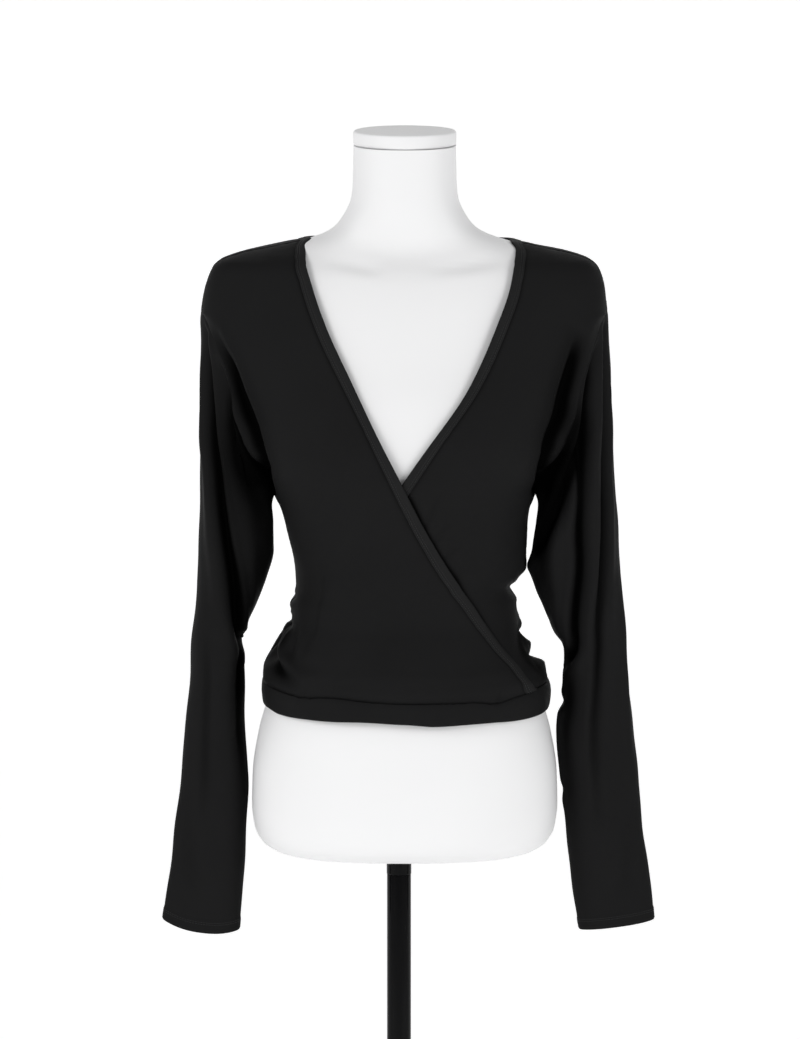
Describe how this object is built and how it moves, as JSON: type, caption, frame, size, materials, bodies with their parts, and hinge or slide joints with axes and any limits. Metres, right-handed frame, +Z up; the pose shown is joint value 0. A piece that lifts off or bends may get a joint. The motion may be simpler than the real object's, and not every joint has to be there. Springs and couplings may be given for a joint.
{
  "type": "wrap-front long-sleeved top on a limbless dress form with a pole stand",
  "caption": "Cropped black jersey top with a wrapped V front, long sleeves and a hem band, worn by a white limbless dress form on a black pole and round base.",
  "frame": {"origin": "centre of the base plate's underside, on the pole's axis, on the floor", "axes": "+Z up, -Y the way the wearer faces, +X the wearer's left"},
  "size_m": [0.5154, 0.31, 1.501],
  "materials": {
    "jersey": "fine black viscose jersey, matte with a soft satin sheen",
    "binding": "folded strip of the same jersey, twin topstitched",
    "form": "smooth white, semi-matte",
    "pole": "gloss black tube",
    "base": "satin black powder coat"
  },
  "bodies": {
    "root": {"front_right": "jersey", "front_left": "jersey", "back": "jersey", "sleeve_right": "jersey", "sleeve_left": "jersey", "neck_binding": "binding", "hem_band": "jersey", "form_body": "form", "form_neck_cap": "form", "pole_socket": "pole", "pole": "pole", "base_plate": "base"}
  },
  "joints": []
}
